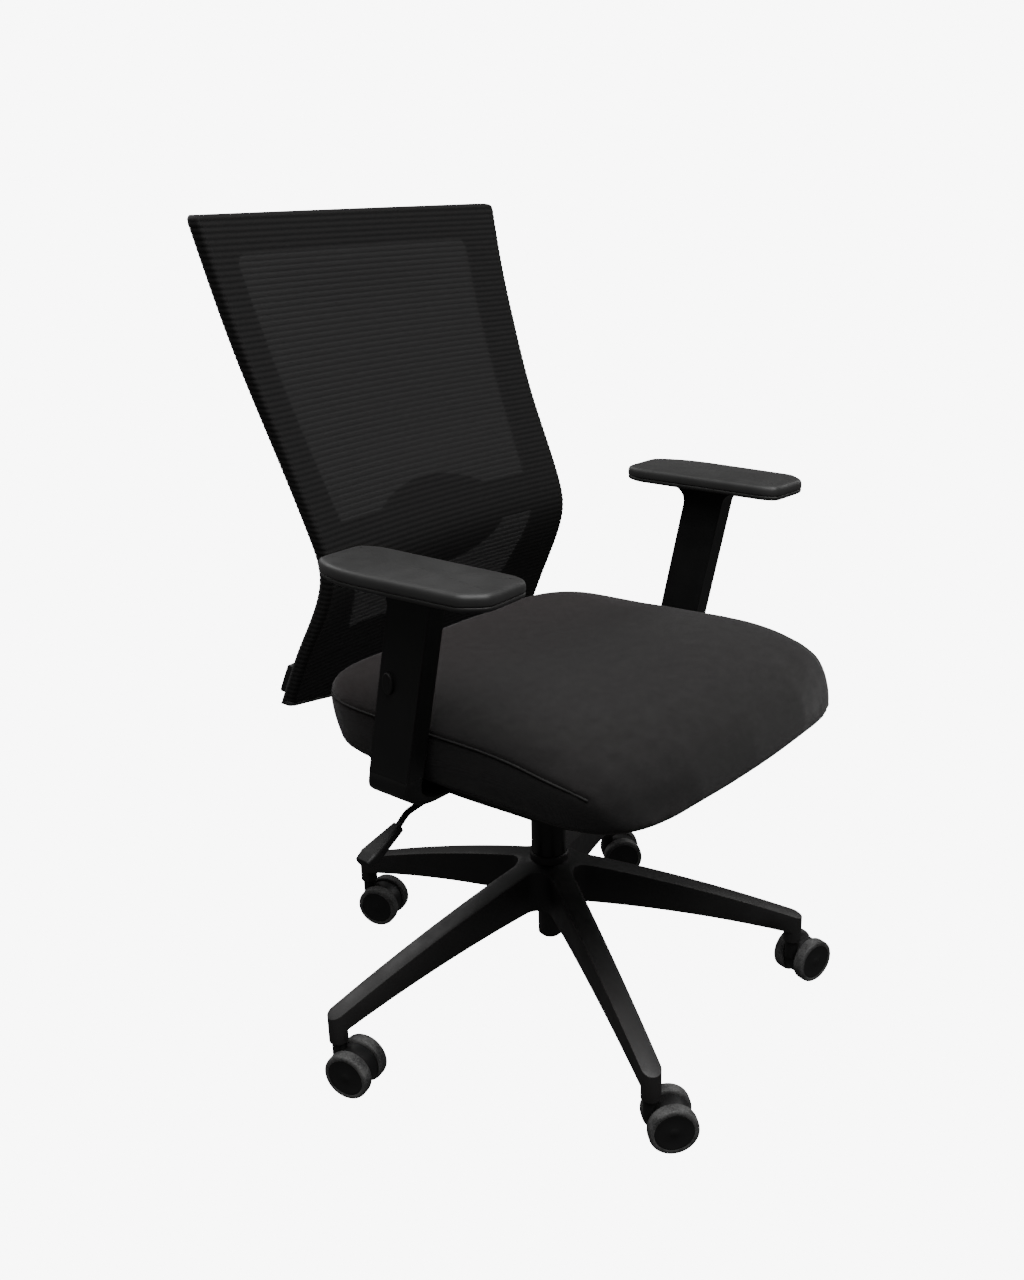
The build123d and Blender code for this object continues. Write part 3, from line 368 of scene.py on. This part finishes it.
def rings_to_faces(rings, size, closed_ends=True):
    """Quads between rings of equal size, with a polygon over each end."""
    faces = []
    for r in range(rings - 1):
        for k in range(size):
            n = (k + 1) % size
            faces.append((r * size + k, r * size + n, (r + 1) * size + n, (r + 1) * size + k))
    if closed_ends:
        faces.append(tuple(reversed(range(size))))
        faces.append(tuple(range((rings - 1) * size, rings * size)))
    return faces


def curve_piece(name, points, radius, material):
    """A round cord of small radius along points, as a mesh tube."""
    curve = bpy.data.curves.new(name, "CURVE")
    curve.dimensions = "3D"
    curve.bevel_depth = radius
    curve.bevel_resolution = 2
    spline = curve.splines.new("POLY")
    spline.points.add(len(points) - 1)
    for point, place in zip(spline.points, points):
        point.co = (*place, 1)
    shape = bpy.data.objects.new(name + "_curve", curve)
    bpy.context.scene.collection.objects.link(shape)
    bpy.context.view_layer.update()
    mesh = bpy.data.meshes.new_from_object(shape)
    bpy.data.objects.remove(shape)
    mesh.name = name
    mesh.materials.clear()
    mesh.materials.append(MATERIALS[material])
    piece = bpy.data.objects.new(name, mesh)
    bpy.context.scene.collection.objects.link(piece)
    return piece


def cubic(knots, values):
    """A smooth function through values at knots (a natural cubic spline)."""
    knots, values = np.array(knots, float), np.array(values, float)
    count = len(knots)
    step = np.diff(knots)
    system = np.eye(count)
    load = np.zeros(count)
    for k in range(1, count - 1):
        system[k, k - 1:k + 2] = step[k - 1], 2 * (step[k - 1] + step[k]), step[k]
        load[k] = 6 * ((values[k + 1] - values[k]) / step[k] - (values[k] - values[k - 1]) / step[k - 1])
    bend = np.linalg.solve(system, load)

    def at(x):
        x = np.clip(np.asarray(x, float), knots[0], knots[-1])
        k = np.clip(np.searchsorted(knots, x) - 1, 0, count - 2)
        a, b = knots[k + 1] - x, x - knots[k]
        h = step[k]
        return (bend[k] * a ** 3 + bend[k + 1] * b ** 3) / (6 * h) \
            + (values[k] / h - bend[k] * h / 6) * a + (values[k + 1] / h - bend[k + 1] * h / 6) * b

    return at


def smoothstep(x, low, high):
    """0 below low, 1 above high, smooth between."""
    t = np.clip((np.asarray(x, float) - low) / (high - low), 0, 1)
    return t * t * (3 - 2 * t)


def outline_of(node, count):
    """The node's outline from above, as evenly spaced points, counter-clockwise."""
    places = np.array([v.co[:2] for v in NODES[node].data.vertices])
    hull = places[convex_hull_2d([tuple(p) for p in places])]
    if np.sum(hull[:, 0] * np.roll(hull[:, 1], -1) - hull[:, 1] * np.roll(hull[:, 0], -1)) < 0:
        hull = hull[::-1]
    loop = np.vstack([hull, hull[:1]])
    run = np.concatenate([[0], np.cumsum(np.linalg.norm(np.diff(loop, axis=0), axis=1))])
    at = np.linspace(0, run[-1], count, endpoint=False)
    points = np.stack([np.interp(at, run, loop[:, k]) for k in (0, 1)], axis=1)
    for _ in range(4):
        points = 0.5 * points + 0.25 * (np.roll(points, 1, axis=0) + np.roll(points, -1, axis=0))
    return points


def outward(points):
    """Unit normals of a counter-clockwise closed outline."""
    along = np.roll(points, -1, axis=0) - np.roll(points, 1, axis=0)
    normal = np.stack([along[:, 1], -along[:, 0]], axis=1)
    return normal / np.linalg.norm(normal, axis=1)[:, None]


# ---------------------------------------------------------------- back mesh

# Height, depth of the front surface at the side edges, and half width, in mm, as in the CAD.
BACK_STATIONS = (
    (400, 241, 234), (437, 222, 232), (515, 184, 228), (580, 151, 222), (620, 142, 221),
    (660, 153, 223), (760, 198, 228), (865, 240, 238), (940, 265, 244.5), (1016, 286, 252),
)
BACK_CENTRE_Y = -1500 * MM
BACK_CORNER = 9 * MM
BACK_THICK = 19 * MM
RIB_PITCH = 7.0 * MM
RIB_RISE = 0.75 * MM
RIB_STEPS = 6
EDGE_ROUND = 5.5 * MM
WRAP_IN = 13 * MM
ROUND_STEPS, FRONT_COLUMNS = 5, 46
MESH_SAG = 3.5 * MM
WINDOW_HALF, WINDOW_LOW, WINDOW_HIGH = 190 * MM, 690 * MM, 970 * MM
BOTTOM_MIDDLE = 404 * MM
MESH_TOP = 1021 * MM
BRIM_SHARES = (0.4, 0.7, 1.0)

station_z = [z * MM for z, y, w in BACK_STATIONS]
back_edge_y = cubic(station_z, [y * MM for z, y, w in BACK_STATIONS])
back_half = cubic(station_z, [w * MM for z, y, w in BACK_STATIONS])


def back_surface(x, z):
    """Depth of the back's front surface."""
    radius = np.hypot(back_half(z), back_edge_y(z) - BACK_CENTRE_Y)
    return BACK_CENTRE_Y + np.sqrt(radius ** 2 - np.asarray(x) ** 2)


def back_mesh_rows():
    """Heights of the mesh's rows, evenly spaced along the side profile, and the run along it."""
    fine = np.linspace(BOTTOM_MIDDLE, MESH_TOP, 4000)
    depth = back_edge_y(fine)
    run = np.concatenate([[0], np.cumsum(np.hypot(np.diff(fine), np.diff(depth)))])
    count = int(run[-1] / RIB_PITCH * RIB_STEPS)
    along = np.linspace(0, run[-1], count)
    return np.interp(along, run, fine), along


def bottom_edge(x):
    """Height of the back's lower edge."""
    return float(np.interp(abs(x), (0, 120 * MM, 232 * MM), (BOTTOM_MIDDLE, 413 * MM, 437 * MM)))


def back_level(x, z):
    """The height of a row's point: rows that run below the lower edge gather on it."""
    edge = bottom_edge(x)
    return z if z >= edge else edge - 0.01 * (edge - z)


def wrapped_side(side, half, z, lift, rib):
    """One row's points round a side edge, from behind the frame to its front."""
    level = back_level(half, z)
    edge_y = float(back_surface(half, level)) + lift
    points = [(side * (half - WRAP_IN), edge_y + BACK_THICK + 0.6 * MM, level)]
    for share in (1.0, 0.72, 0.5):
        points.append((side * (half + rib), edge_y + share * BACK_THICK, level))
    for turn in np.linspace(0, math.pi / 2, ROUND_STEPS, endpoint=False):
        points.append((side * (half - EDGE_ROUND + (EDGE_ROUND + rib) * math.cos(turn)),
                       edge_y + EDGE_ROUND - (EDGE_ROUND + rib) * math.sin(turn), level))
    return points


def mesh_row(z, along, top):
    """One row of points across the back, from edge to edge."""
    half = float(back_half(max(z, station_z[1])))
    from_top = top - z
    if from_top < BACK_CORNER:
        half -= BACK_CORNER - math.sqrt(BACK_CORNER ** 2 - (BACK_CORNER - from_top) ** 2)
    lift = 0.0
    if from_top < EDGE_ROUND:
        lift = EDGE_ROUND - math.sqrt(EDGE_ROUND ** 2 - (EDGE_ROUND - from_top) ** 2)
    rib = RIB_RISE * abs(math.sin(math.pi * along / RIB_PITCH))
    sag = MESH_SAG * float(smoothstep(z, WINDOW_LOW, WINDOW_LOW + 0.07)
                           * (1 - smoothstep(z, WINDOW_HIGH - 0.07, WINDOW_HIGH)))
    row = wrapped_side(-1, half, z, lift, rib)
    for x in np.linspace(EDGE_ROUND - half, half - EDGE_ROUND, FRONT_COLUMNS):
        level = back_level(x, z)
        hollow = sag * max(0.0, 1 - (abs(x) / WINDOW_HALF) ** 2)
        row.append((x, float(back_surface(x, level)) + lift + hollow - rib, level))
    return row + wrapped_side(1, half, z, lift, rib)[::-1]


def make_back_mesh():
    """The stretched ribbed mesh: it lies on the frame's front and wraps round its edges."""
    heights, along = back_mesh_rows()
    rows = [np.array(mesh_row(z, s, MESH_TOP)) for z, s in zip(heights, along)]
    brim = rows[-1]
    front = back_surface(brim[:, 0], MESH_TOP) + EDGE_ROUND
    for share in BRIM_SHARES:
        over = brim.copy()
        over[:, 1] = np.maximum(brim[:, 1], front + share * (BACK_THICK - EDGE_ROUND))
        rows.append(over)
    tucked = rows[-1].copy()
    tucked[:, 2] -= WRAP_IN
    rows = np.array(rows + [tucked])
    past = np.array(BRIM_SHARES) * BACK_THICK
    along = np.concatenate([along, along[-1] + past, [along[-1] + BACK_THICK + WRAP_IN]])
    count, width = rows.shape[:2]
    across = np.zeros((count, width))
    across[:, 1:] = np.cumsum(np.linalg.norm(np.diff(rows, axis=1), axis=2), axis=1)
    coords = np.zeros((count, width, 3), np.float32)
    coords[:, :, 0] = across
    coords[:, :, 1] = (along / RIB_PITCH)[:, None]
    faces = [(r * width + k, r * width + k + 1, (r + 1) * width + k + 1, (r + 1) * width + k)
             for r in range(count - 1) for k in range(width - 1)]
    piece = add_piece("back_mesh_cloth", rows.reshape(-1, 3), faces, "mesh")
    attribute = piece.data.attributes.new("rib", "FLOAT_VECTOR", "POINT")
    attribute.data.foreach_set("vector", coords.ravel())
    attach(piece, "seat")
    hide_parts("back_mesh")


# ---------------------------------------------------------------- seat cushion

CROWN_Z, CUSHION_FOOT_Z = 497 * MM, 407 * MM
TOP_PITCH = -0.022
FOOT_INSET, FOOT_ROUND = 12 * MM, 2.0
# Half of the cushion's outline from above, in mm, from the rear middle to the front middle.
CUSHION_HALF_PLAN = (
    (0, 196), (120, 192), (204, 176), (241, 138), (255, 60), (260, -40), (260, -150), (257.5, -216),
    (246, -260), (215, -289), (120, -308), (0, -312),
)
# How far the top panel is below the crown, in mm: by the distance in from the side or rear edge,
# and by the distance behind the front edge.
SIDE_FALL = ((0, 20), (3, 14), (9, 9), (24, 4.5), (60, 1.6), (140, 0))
FRONT_FALL = ((0, 85), (2, 73), (8, 52), (20, 33), (45, 17), (80, 7), (120, 2), (165, 0))
# The front edge's line, carried on past the corners, in mm.
FRONT_LINE = ((0, -312), (120, -308), (215, -289), (246, -272), (268, -255))
RING_POINTS = 200
SIM_SHRINK = 0.8 * MM
SIM_LIMIT = 4.5 * MM
SIM_VOXEL = 5.5 * MM
SIM_PRESSURE = 2.2
SEAM_END_Y = -256 * MM
SIM_SMOOTHING = 30


def fall(distance, pairs):
    """Drop below the crown at a distance from an edge."""
    table = np.array(pairs) * MM
    return np.interp(distance, table[:, 0], table[:, 1])


def top_height(inset, x, y):
    """Height of the top panel at a place that is this far in from the outline."""
    line = np.array(FRONT_LINE) * MM
    behind = y - np.interp(np.abs(x), line[:, 0], line[:, 1])
    side = fall(inset, SIDE_FALL) * smoothstep(behind, -10 * MM, 60 * MM)
    return CROWN_Z + TOP_PITCH * y - fall(np.maximum(behind, 0), FRONT_FALL) - side


def cushion_outline():
    """The cushion's outline from above, as evenly spaced points, counter-clockwise."""
    half = np.array(CUSHION_HALF_PLAN) * MM
    loop = np.vstack([half, half[-2:0:-1] * (-1, 1)])[::-1]
    closed = np.vstack([loop[-1:], loop, loop[:2]])
    run = np.concatenate([[0], np.cumsum(np.linalg.norm(np.diff(closed, axis=0), axis=1))])
    at = run[1] + np.linspace(0, run[-2] - run[1], RING_POINTS, endpoint=False)
    points = np.stack([cubic(run, closed[:, k])(at) for k in (0, 1)], axis=1)
    return points


def cushion_rings():
    """The cushion's shape as rings from its foot to its crown."""
    outline = cushion_outline()
    normal = outward(outline)
    middle = np.array([0.0, -0.05])
    rings = []

    def ring(inset, heights):
        flat = outline - normal * inset
        rings.append(np.column_stack([flat, heights]))

    base = np.full(RING_POINTS, CUSHION_FOOT_Z)
    for share in (0.35, 0.7):
        flat = middle + (outline - normal * FOOT_INSET - middle) * share
        rings.append(np.column_stack([flat, base]))
    ring(FOOT_INSET + 4 * MM, base)
    ring(FOOT_INSET - 1 * MM, base + 1.5 * MM)
    seam = top_height(0.0, outline[:, 0], outline[:, 1])
    for share in (0.2, 0.45, 0.7, 0.9):
        inset = FOOT_INSET * (1 - share) ** FOOT_ROUND
        ring(inset, base + 2 * MM + (seam - base - 2 * MM) * share)
    for inset in (0.0, 2 * MM, 6 * MM, 14 * MM, 28 * MM, 48 * MM, 75 * MM, 110 * MM):
        flat = outline - normal * inset
        ring(inset, top_height(inset, flat[:, 0], flat[:, 1]))
    last = rings[-1]
    for share in (0.66, 0.33, 0.08):
        flat = middle + (last[:, :2] - middle) * share
        rings.append(np.column_stack([flat, CROWN_Z + TOP_PITCH * flat[:, 1]]))
    return outline, np.array(rings)


def remesh(piece, size):
    """Voxel-remesh a piece in place."""
    modifier = piece.modifiers.new("voxels", "REMESH")
    modifier.mode = "VOXEL"
    modifier.voxel_size = size
    apply_modifiers(piece)


def apply_modifiers(piece):
    """Bake a piece's modifiers into its mesh."""
    bpy.context.view_layer.update()
    evaluated = piece.evaluated_get(bpy.context.evaluated_depsgraph_get())
    mesh = bpy.data.meshes.new_from_object(evaluated)
    piece.modifiers.clear()
    materials = list(piece.data.materials)
    piece.data = mesh
    mesh.materials.clear()
    for material in materials:
        mesh.materials.append(material)
    mesh.polygons.foreach_set("use_smooth", [True] * len(mesh.polygons))


def puff(piece, pressure, limit, frames=20):
    """Swell a closed piece by cloth simulation, and cap how far any point moves."""
    before = np.array([v.co for v in piece.data.vertices])
    cloth = piece.modifiers.new("cloth", "CLOTH")
    settings = cloth.settings
    settings.quality = 5
    settings.mass = 0.3
    settings.use_pressure = True
    settings.uniform_pressure_force = pressure
    settings.tension_stiffness = settings.compression_stiffness = 22
    settings.shear_stiffness = 9
    settings.bending_stiffness = 1.2
    settings.effector_weights.gravity = 0
    cloth.collision_settings.use_collision = False
    scene = bpy.context.scene
    for step in range(1, frames + 1):
        scene.frame_set(step)
    apply_modifiers(piece)
    scene.frame_set(1)
    after = np.array([v.co for v in piece.data.vertices])
    move = after - before
    length = np.linalg.norm(move, axis=1)
    move *= np.minimum(1, limit / np.maximum(length, 1e-9))[:, None]
    edges = np.array([edge.vertices[:] for edge in piece.data.edges])
    for _ in range(SIM_SMOOTHING):
        total, share = move.copy(), np.ones(len(move))
        for a, b in (edges.T, edges.T[::-1]):
            np.add.at(total, a, move[b])
            np.add.at(share, a, 1)
        move = total / share[:, None]
    after = before + move
    piece.data.vertices.foreach_set("co", after.astype(np.float32).ravel())
    piece.data.update()


def make_cushion():
    """The upholstered seat: simulated, with a sunk seam round its side and piping in the seam."""
    outline, rings = cushion_rings()
    count = len(rings)
    faces = rings_to_faces(count, RING_POINTS)
    piece = add_piece("seat_cushion_cover", rings.reshape(-1, 3), faces, "fabric")
    remesh(piece, SIM_VOXEL)
    shrink = piece.modifiers.new("shrink", "DISPLACE")
    shrink.mid_level = 0
    shrink.strength = -SIM_SHRINK
    apply_modifiers(piece)
    puff(piece, SIM_PRESSURE, SIM_LIMIT)
    smooth = piece.modifiers.new("smooth", "SMOOTH")
    smooth.factor = 0.5
    smooth.iterations = 6
    subdivision = piece.modifiers.new("subdivision", "SUBSURF")
    subdivision.levels = subdivision.render_levels = 1
    apply_modifiers(piece)
    seam = seam_points(outline, piece)
    sink_seam(piece, seam)
    piping = curve_piece("seat_piping", seam, 1.15 * MM, "piping")
    for made in (piece, piping):
        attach(made, "seat")
    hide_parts("seat_cushion")
    return piece


def seam_points(outline, piece):
    """The seam's route, laid on the cushion's skin: round the side and down both front corners."""
    keep = outline[:, 1] > SEAM_END_Y
    start = int(np.argmax(keep & ~np.roll(keep, 1)))
    order = np.roll(np.arange(len(outline)), -start)
    order = order[keep[order]]
    dg = bpy.context.evaluated_depsgraph_get()
    tree = BVHTree.FromObject(piece, dg)
    route = []
    for k in order:
        x, y = outline[k]
        found = tree.find_nearest(Vector((x, y, float(top_height(0.0, x, y)))))
        route.append(found[0] + found[1] * 0.1 * MM)
    points = np.array(route)
    for _ in range(6):
        points[1:-1] = 0.5 * points[1:-1] + 0.25 * (points[:-2] + points[2:])
    return points


def sink_seam(piece, seam, depth=1.6 * MM, width=3.2 * MM):
    """Pull the cover in along the seam."""
    fine = np.vstack([seam[:-1] * (1 - t) + seam[1:] * t for t in np.linspace(0, 1, 5)[:-1]] + [seam[-1:]])
    tree = KDTree(len(fine))
    for k, point in enumerate(fine):
        tree.insert(point, k)
    tree.balance()
    for vertex in piece.data.vertices:
        distance = tree.find(vertex.co)[2]
        if distance < 4 * width:
            vertex.co -= vertex.normal * depth * math.exp(-(distance / width) ** 2)
    piece.data.update()


# ---------------------------------------------------------------- arm pads

# The soft skin is a little larger than the solid that it covers: across and along.
PAD_GROWTH = np.array((1.03, 1.05))
PAD_SHIFT = np.array((0.0, 1.5 * MM))

# The pad's side from the middle of its underside up: distance in from its outline in mm, and share
# of its thickness.
PAD_PROFILE = (
    (14.0, 0.00), (5.0, 0.00), (2.4, 0.02), (0.9, 0.10), (0.35, 0.20), (0.35, 0.285), (1.2, 0.30),
    (1.2, 0.325), (0.1, 0.34), (0.0, 0.45), (0.0, 0.62), (0.5, 0.76), (1.7, 0.87), (3.8, 0.95),
    (7.0, 0.985), (13.0, 1.0), (24.0, 1.02),
)
# Above it, rings shrunk towards the middle: share of the last ring's size, and of the thickness.
PAD_CROWN = ((0.5, 1.035), (0.12, 1.04))
PAD_POINTS = 160


def make_arm_pad(side):
    """A soft armrest pad: rounded top, tucked underside and a parting line round its side."""
    node = f"arm_pad_{side}"
    low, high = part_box(node)
    thick = high.z - low.z
    outline = outline_of(node, PAD_POINTS)
    middle = outline.mean(axis=0)
    outline = middle + PAD_SHIFT + (outline - middle) * PAD_GROWTH
    normal = outward(outline)
    flats = [(outline - normal * inset * MM, share) for inset, share in PAD_PROFILE]
    last = flats[-1][0]
    flats += [(middle + (last - middle) * size, share) for size, share in PAD_CROWN]
    rings = [np.column_stack([flat, np.full(PAD_POINTS, low.z + thick * share)]) for flat, share in flats]
    faces = rings_to_faces(len(rings), PAD_POINTS)
    piece = add_piece(f"arm_pad_{side}_skin", np.vstack(rings), faces, "pad")
    subdivision = piece.modifiers.new("subdivision", "SUBSURF")
    subdivision.levels = subdivision.render_levels = 1
    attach(piece, f"armrest_{side}")
    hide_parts(node)


# ---------------------------------------------------------------- caster wheels

# Turned profiles as radius and distance out along the axle from the caster's middle, in mm.
TREAD_PROFILE = (
    (23.6, 25.6), (25.2, 26.0), (27.2, 25.9), (28.6, 25.3), (29.6, 24.2), (29.95, 22.6), (30.0, 18.4),
    (29.95, 13.8), (29.5, 12.0), (28.6, 10.9), (27.0, 10.45), (24.0, 10.4),
)
CORE_PROFILE = (
    (24.0, 10.4), (12.0, 10.4), (11.0, 11.4), (5.5, 11.4), (4.05, 10.9), (4.05, 22.3), (0.2, 22.4),
)
FACE_PROFILE = (
    (0.2, 25.5), (4.6, 25.5), (5.3, 25.1), (6.2, 24.9), (14.0, 24.8), (21.6, 25.1), (22.8, 25.4),
    (23.3, 24.9), (23.6, 25.6),
)
# Each wheel's pieces: profile, material, material slot, and the ring that is closed over.
WHEEL_PIECES = {
    "tread": (TREAD_PROFILE, "tread", "wheel_tread", None),
    "core": (CORE_PROFILE, "disc", "black_plastic", len(CORE_PROFILE) - 1),
    "face": (FACE_PROFILE, "disc", "black_plastic", 0),
}
WHEEL_SEGMENTS = 72


def turned_piece(name, profile, centre, axis, material, closed_ring):
    """A profile turned about an axis."""
    up = Vector((0, 0, 1))
    side = axis.cross(up)
    angles = np.linspace(0, 2 * math.pi, WHEEL_SEGMENTS, endpoint=False)
    points = [centre + axis * along * MM + (up * math.cos(t) + side * math.sin(t)) * radius * MM
              for radius, along in profile for t in angles]
    faces = rings_to_faces(len(profile), WHEEL_SEGMENTS, closed_ends=False)
    if closed_ring is not None:
        faces.append(tuple(range(closed_ring * WHEEL_SEGMENTS, (closed_ring + 1) * WHEEL_SEGMENTS)))
    return add_piece(name, points, faces, material)


def make_wheel(number, hand):
    """A caster wheel: a worn tread, and a dark disc with a shallow dish and a hub button."""
    joint = JOINTS[f"caster_{number}_spin_{hand}"]
    axis = Vector(joint["axis"]).normalized()
    centre = Vector(joint["pos_m"])
    node = f"caster_{number}_wheel_{hand}"
    low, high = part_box(node)
    if ((low + high) / 2 - centre).dot(axis) < 0:
        axis = -axis
    for label, (profile, material, slot, closed_ring) in WHEEL_PIECES.items():
        piece = turned_piece(f"{node}_{label}", profile, centre, axis, material, closed_ring)
        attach(piece, node)
        if label == "tread":
            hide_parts(node)


# ---------------------------------------------------------------- build

add_camera()
add_studio()
for node_name, material_name in NODE_MATERIALS.items():
    finish_cad_node(node_name, material_name)
make_back_mesh()
make_cushion()
for side in SIDES:
    make_arm_pad(side)
for number in CASTERS:
    for hand in "ab":
        make_wheel(number, hand)
